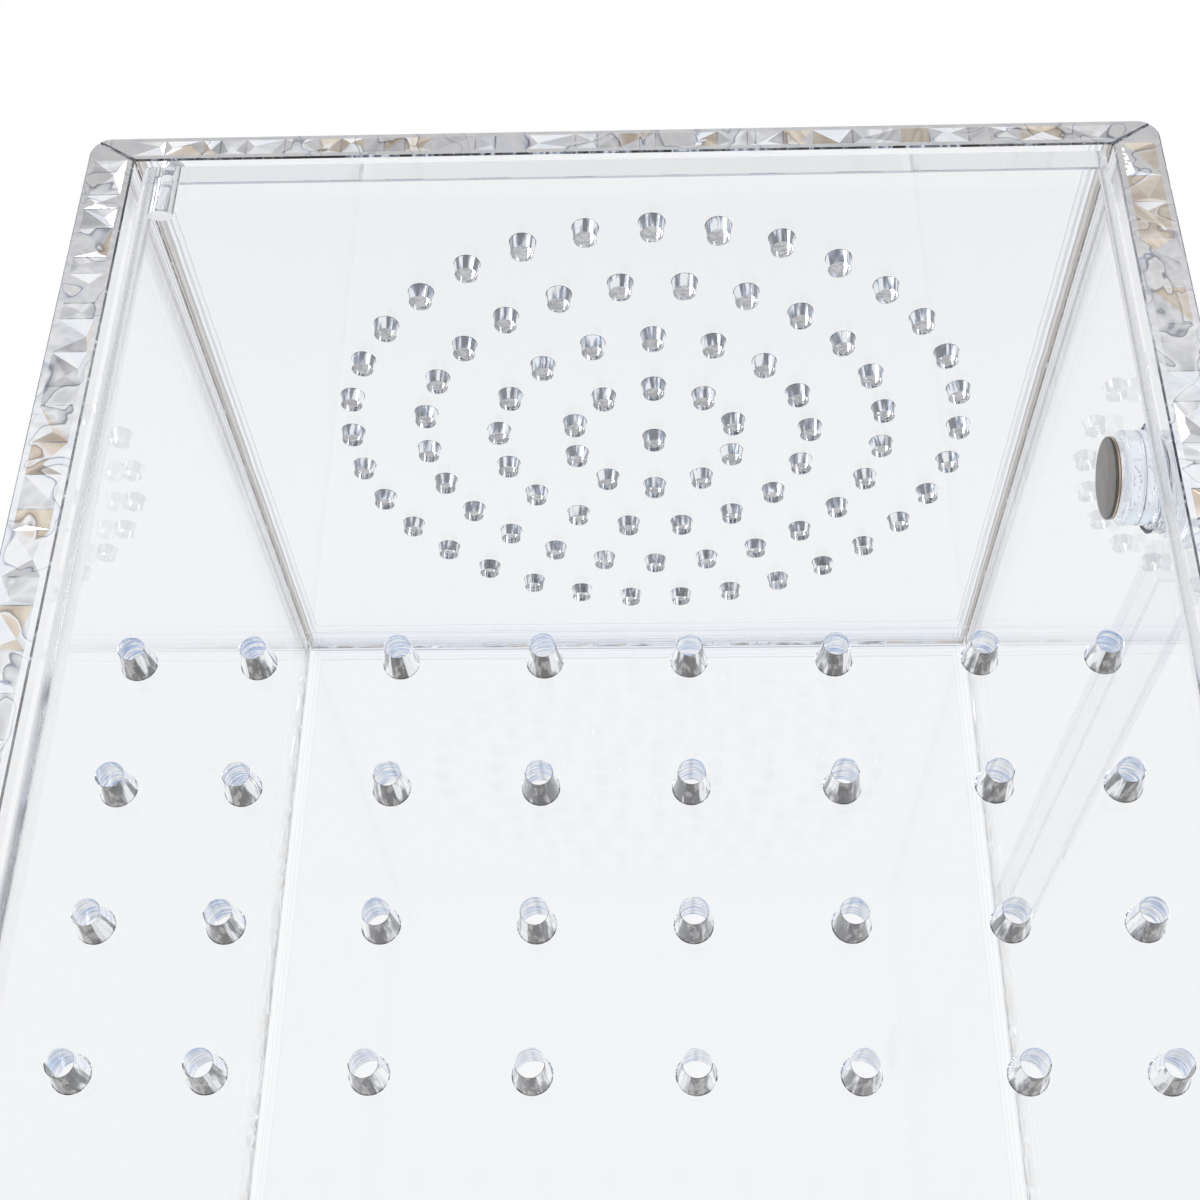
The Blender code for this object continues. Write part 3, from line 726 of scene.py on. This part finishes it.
def make_back_and_door(back_materials, door_materials):
    """Sheets whose outline lies flat in X and Y, drawn out along Z."""
    half = INNER_HALF_WIDTH - JOINT_GAP
    front, back = HALF_DEPTH - SHEET, HALF_DEPTH
    outline = [(-half, front), (half, front), (half, back), (-half, back)]
    low, high = SHEET + JOINT_GAP, CEILING - JOINT_GAP
    panel("back_sheet", outline, high - low, Matrix.Translation((0, 0, (low + high) / 2)),
          "enclosure", back_materials, "back_wall")

    left, right = -INNER_HALF_WIDTH + DOOR_CLEARANCE, INNER_HALF_WIDTH - DOOR_CLEARANCE
    front, back = -HALF_DEPTH, -HALF_DEPTH + SHEET
    hinge, latch = DOOR_HINGE_ROUND, DOOR_LATCH_ROUND
    outline = (arc((left + hinge, back - hinge), hinge, 90, 180, 10)
               + arc((left + hinge, front + hinge), hinge, 180, 270, 10)
               + arc((right - latch, front + latch), latch, 270, 360, 4)
               + arc((right - latch, back - latch), latch, 0, 90, 4))
    low, high = SHEET + DOOR_CLEARANCE, CEILING - DOOR_CLEARANCE
    middle = (low + high) / 2
    vents = [((x, CEILING - drop - middle), *DOOR_VENT_RADII, DOOR_VENT_SIDES)
             for drop in DOOR_ROW_DROPS for x in DOOR_COLUMNS]
    panel("door_sheet", outline, high - low, Matrix.Translation((0, 0, middle)),
          "door", door_materials, "door_panel", vents=vents,
          end_holes=[(PIVOT, PIN_HOLE_RADIUS, DOOR_PIN_HOLE_DEPTH)], turn=270, rounding=LONG_SIDE)


def middle_of(node):
    low, high = (Vector(corner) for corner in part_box(node))
    return low, high, (low + high) / 2


def bar(name, low, high, along, round_by, body, material, stands_for):
    """A square bar or block with rounded long edges and chamfered ends."""
    size = Vector(high) - Vector(low)
    middle = (Vector(low) + Vector(high)) / 2
    across, up, length = {"Y": (size.x, size.z, size.y), "Z": (size.x, size.y, size.z)}[along]
    outline = []
    for turn, (u, v) in enumerate(((1, -1), (1, 1), (-1, 1), (-1, -1))):
        outline += arc((u * (across / 2 - round_by), v * (up / 2 - round_by)), round_by,
                       turn * 90 - 90, turn * 90, 4)
    matrix = Matrix.Translation(middle)
    if along == "Y":
        matrix = matrix @ Matrix.Rotation(math.radians(90), 4, "X")
    form = bmesh.new()
    small = round_by * 0.7
    rings = [[(u, v, w) for u, v in inset(outline, by)] if by else [(u, v, w) for u, v in outline]
             for w, by in ((-length / 2, small), (-length / 2 + small, 0), (length / 2 - small, 0),
                           (length / 2, small))]
    for number, (one, two) in enumerate(zip(rings, rings[1:])):
        for n in range(len(outline)):
            face = form.faces.new([form.verts.new(p) for p in (one[n - 1], one[n], two[n], two[n - 1])])
            face.smooth = number == 1 and math.dist(one[n - 1], one[n]) < round_by
    for ring in (rings[0], rings[3]):
        form.faces.new([form.verts.new(p) for p in ring])
    return finish_mesh(name, form, [material], matrix, body, stands_for)


def make_plug(clear, seam, face, rim, dark):
    """Cap, body, two discs and a magnet, turned about the plug's axis from the inside out."""
    def along_x(name, profile, node, materials):
        low, _, middle = middle_of(node)
        turned(name, profile, (low.x, middle.y, middle.z), (1, 0, 0), "feeding_plug", materials,
               node, sides=96)

    low, high, _ = middle_of("plug_magnet")
    thick, radius = high.x - low.x, (high.z - low.z) * 0.455
    edge = 0.00016
    # Around the magnet's side: near-black painted shade from the edge next to its face to half its
    # thickness, with a copper band of painted highlight in it, and lighter nickel on the back half as
    # painted highlight
    profile = [(0, 0, 0), (radius * 0.9, 0, 0), (radius * 0.93, 0.00004, 0), (radius - edge, 0.00004, 0)]
    profile += [(u, v, 2) for u, v in arc((radius - edge, 0.00004 + edge), edge, -90, 0, 4)][1:]
    profile += [(radius, thick * 0.28, 2), (radius, thick * 0.42, 1), (radius, thick * 0.5, 2)]
    profile += [(u, v, 3) for u, v in arc((radius - edge, thick - edge), edge, 0, 90, 4)]
    bright = plating("magnet_side_painted_highlight", ((0.86, 0.87, 0.90), (0.97, 0.98, 1.0)), 0.14, 0.1)
    along_x("magnet_disc", profile + [(0, thick, 0)], "plug_magnet", [face, rim, dark, bright])

    for name, node in (("inner_disc", "plug_disc_inner"), ("outer_disc", "plug_disc_outer")):
        low, high, _ = middle_of(node)
        thick, radius = high.x - low.x, (high.z - low.z) * 0.455
        profile = rounded(radius, thick, 0.00028, 5, 1, 0)
        along_x(name, profile, node, [clear, seam])

    low, high, _ = middle_of("plug_body")
    thick, radius = high.x - low.x, (high.z - low.z) / 2
    profile = rounded(radius, thick, 0.00022, 4, 1, 0)
    along_x("plug_barrel", profile, "plug_body", [clear, seam])

    low, high, _ = middle_of("plug_cap")
    thick, radius = high.x - low.x, (high.z - low.z) / 2
    groove, edge = 0.0007, 0.0008
    profile = [(0, 0, 0), (radius - 0.00015, 0, 0), (radius, 0.00015, 1), (radius, thick / 2 - groove, 1)]
    profile += [(radius - math.sin(math.radians(a)) * groove,
                 thick / 2 - math.cos(math.radians(a)) * groove, 1) for a in range(15, 180, 15)]
    profile += [(radius, thick / 2 + groove, 1)]
    profile += [(u, v, 1) for u, v in arc((radius - edge, thick - edge), edge, 0, 90, 8)][1:]
    profile += [(radius * 0.5, thick, 0), (radius * 0.42, thick - 0.00025, 0), (0, thick - 0.0004, 0)]
    along_x("plug_head", profile, "plug_cap", [clear, seam])


def make_fittings(clear, seam, face, rim, bar_clear):
    """Pins, knob, stop blocks, latch magnets and the side bar."""
    for name in ("top", "bottom"):
        low, high, middle = middle_of("door_pin_" + name)
        radius = (high.x - low.x) / 2
        profile = rounded(radius, high.z - low.z, 0.0002, 5, 0, 0)
        turned("pivot_" + name, profile, (middle.x, middle.y, low.z), (0, 0, 1), "door", [clear, seam],
               "door_pin_" + name, sides=48)

    low, high, middle = middle_of("door_knob")
    height, head = high.y - low.y, (high.z - low.z) / 2
    rim_round, neck, base = 0.0011, 0.0019, 0.0026
    profile = [(0, 0, 0), (base - 0.0001, 0, 0), (base, 0.0001, 0)]
    profile += [(neck + (base - neck) * (1 - math.sin(math.radians(a))),
                 0.0001 + 0.0011 * (1 - math.cos(math.radians(a))), 0) for a in range(10, 100, 10)]
    profile += [(neck, 0.0024, 0)]
    under = height - 1.5 * rim_round
    profile += [(neck + (head - neck) * (1 - math.cos(math.radians(a))),
                 0.0024 + (under - 0.0024) * math.sin(math.radians(a)), 0) for a in range(15, 90, 15)]
    profile += [(head, under, 0)]
    profile += [(u, v, 0) for u, v in arc((head - rim_round, height - rim_round), rim_round, 0, 90, 8)]
    profile += [(head * 0.45, height, 0), (head * 0.36, height - 0.0003, 0), (0, height - 0.0005, 0)]
    turned("knob", profile, (middle.x, high.y, middle.z), (0, -1, 0), "door", [clear],
           "door_knob", sides=96)

    for level in ("upper", "lower"):
        low, high, _ = middle_of("stop_block_" + level)
        bar("stop_" + level, low, high, "Z", 0.0003, "enclosure", bar_clear, "stop_block_" + level)
        for side, body in (("block", "enclosure"), ("door", "door")):
            low, high, middle = middle_of(side + "_magnet_" + level)
            radius, thick = (high.z - low.z) / 2, high.y - low.y
            edge = 0.00018
            profile = [(0, 0, 0), (radius - edge, 0, 0)]
            profile += [(u, v, 1) for u, v in arc((radius - edge, edge), edge, -90, 0, 4)][1:]
            profile += [(radius, thick / 2, 1)]
            profile += [(u, v, 1) for u, v in arc((radius - edge, thick - edge), edge, 0, 90, 4)]
            turned(side + "_latch_" + level, profile + [(0, thick, 0)], (middle.x, low.y, middle.z),
                   (0, 1, 0), body, [face, rim], side + "_magnet_" + level, sides=64)

    low, high, _ = middle_of("side_rail")
    bar("side_bar", low, high, "Y", 0.0003, "enclosure", bar_clear, "side_rail")


def main():
    scene = bpy.context.scene
    scene.view_settings.view_transform = "Standard"
    scene.cycles.max_bounces = 32
    scene.cycles.glossy_bounces = 24
    scene.cycles.transmission_bounces = 24
    make_camera()
    make_world()
    make_floor()
    area_light("key", (-0.35, -0.1, 0.6), (0, 0, 0.08), (0.3, 0.3), 1.1)
    area_light("fill", (0.4, -0.3, 0.4), (0, 0, 0.08), (0.25, 0.25), 0.5)

    tint = (0.966, 0.971, 0.977)
    ceiling = jointed_sheet("clear_top_and_floor", "x", "", "y")
    side = jointed_sheet("clear_side", "zf", "y", level=0.2)
    back = jointed_sheet("clear_back", "", "x", "zf")
    clear = acrylic("clear_door", tint)
    sanded = acrylic("sanded_edge", (0.98, 0.985, 1.0), 0.3)
    # The sawn ends' white, pale blue and dark blue-grey tints are painted reflections
    reflection_painted_border = painted_light_facet("sawn_border_painted_reflection", ((1, 1, 1), (0.92, 0.94, 0.98), (0.62, 0.66, 0.74)), 0.06, 0.9)
    # Dark blue tint on the chamfers: painted shade and painted reflection lines along the sheets' edges
    chamfer_painted_line = acrylic("chamfer_painted_line", (0.40, 0.43, 0.52), 0.05)
    # Grey glue line of the mitres and whiter glue line of the back joints: a painted-shade and a
    # painted-light copy of one glue line, whose drawn-out streaks are the glue's own
    shade_painted_weld = glue_line("shade_painted_weld", ((0.60, 0.58, 0.57), (0.84, 0.84, 0.85), (0.96, 0.97, 0.99),
                              (0.76, 0.75, 0.75), (1, 1, 1)), (2600, 60, 2600))
    glow_painted_weld = glue_line("back_weld_painted_glow", ((0.72, 0.75, 0.80), (0.95, 0.97, 1.0), (1, 1, 1), (0.84, 0.87, 0.92),
                                  (1, 1, 1)), (60, 2600, 60))
    # Clear, grey and beige tones of the sawn facets are painted reflections; the lines between them are
    # painted shade
    tones = [painted_light_facet("facet_clear_painted_reflection", ((1, 1, 1), (0.91, 0.94, 1.0), (0.34, 0.38, 0.50)), 0.04, 0.85),
             painted_light_facet("facet_grey_painted_reflection", ((0.95, 0.95, 0.96), (0.68, 0.69, 0.71), (0.25, 0.27, 0.33)), 0.1, 0.75),
             painted_light_facet("facet_beige_painted_reflection", ((0.88, 0.79, 0.68), (0.70, 0.59, 0.47), (0.33, 0.28, 0.24)), 0.12, 0.75),
             painted_light_facet("facet_line_painted_shade", ((0.98, 0.99, 1.0), (0.30, 0.31, 0.36), (0.2, 0.2, 0.24)), 0.15, 0.4)]
    # Bore walls: streaks of painted reflection, a pale half of painted highlight and a dark core of painted
    # shade
    top_painted_reflection_and_shade = bore_wall("top_bore_painted_reflection_and_shade", ((0.01, 0.012, 0.035), (0.21, 0.27, 0.40), (1, 1, 1)),
                           (1500, 1500, 60), 0.85, 0.15)
    top_painted_highlight = bore_wall("top_bore_painted_highlight", ((0.74, 0.74, 0.76), (0.90, 0.91, 0.92), (1, 1, 1)),
                         (1500, 1500, 2500), 0.8, 0.3)
    door_painted_reflection = bore_wall("door_bore_painted_reflection", ((0.04, 0.04, 0.05), (0.42, 0.42, 0.45), (1, 1, 1)),
                            (1500, 120, 1500), 0.85, 0.15)
    door_painted_highlight = bore_wall("door_bore_painted_highlight", ((0.42, 0.55, 0.84), (0.90, 0.95, 1.0), (1, 1, 1)),
                          (500, 5000, 500), 0.7, 0.3)
    door_painted_shade = bore_wall("door_bore_painted_shade", ((0.01, 0.009, 0.008), (0.05, 0.042, 0.036), (0.36, 0.33, 0.31)),
                          (2200, 500, 2200), 0.85, 0.15)
    make_ring(ceiling, side, [reflection_painted_border, top_painted_reflection_and_shade, chamfer_painted_line, shade_painted_weld] + tones + [top_painted_highlight, top_painted_reflection_and_shade])
    make_back_and_door([back, glow_painted_weld, glow_painted_weld, chamfer_painted_line, glow_painted_weld],
                       [clear, clear, door_painted_reflection, chamfer_painted_line, sanded] + tones + [door_painted_highlight, door_painted_shade])

    rod = fitting_acrylic("clear_rod", (0.98, 0.99, 1.0), 0.03)
    seam = fitting_acrylic("turned_rod", (0.90, 0.94, 1.0), 0.03)
    face = plating("magnet_face", ((0.13, 0.115, 0.10), (0.20, 0.18, 0.16)), 0.34, 0.35)
    # Copper plating: the latch magnets' side tone, and a band of painted highlight on the plug magnet
    rim = plating("magnet_rim_copper_and_painted_highlight", ((0.42, 0.24, 0.13), (0.74, 0.55, 0.38)), 0.16, 0.1)
    # Near-black plating: painted shade on the plug magnet's edge next to its face
    dark = plating("magnet_edge_painted_shade", ((0.012, 0.01, 0.01), (0.03, 0.025, 0.02)), 0.3, 0.1)
    make_plug(rod, seam, face, rim, dark)
    make_fittings(rod, seam, face, rim, fitting_acrylic("clear_bar", (0.95, 0.96, 0.98), 0.12))
    for node in nodes.values():
        node.data.materials.clear()
        node.data.materials.append(clear)


main()
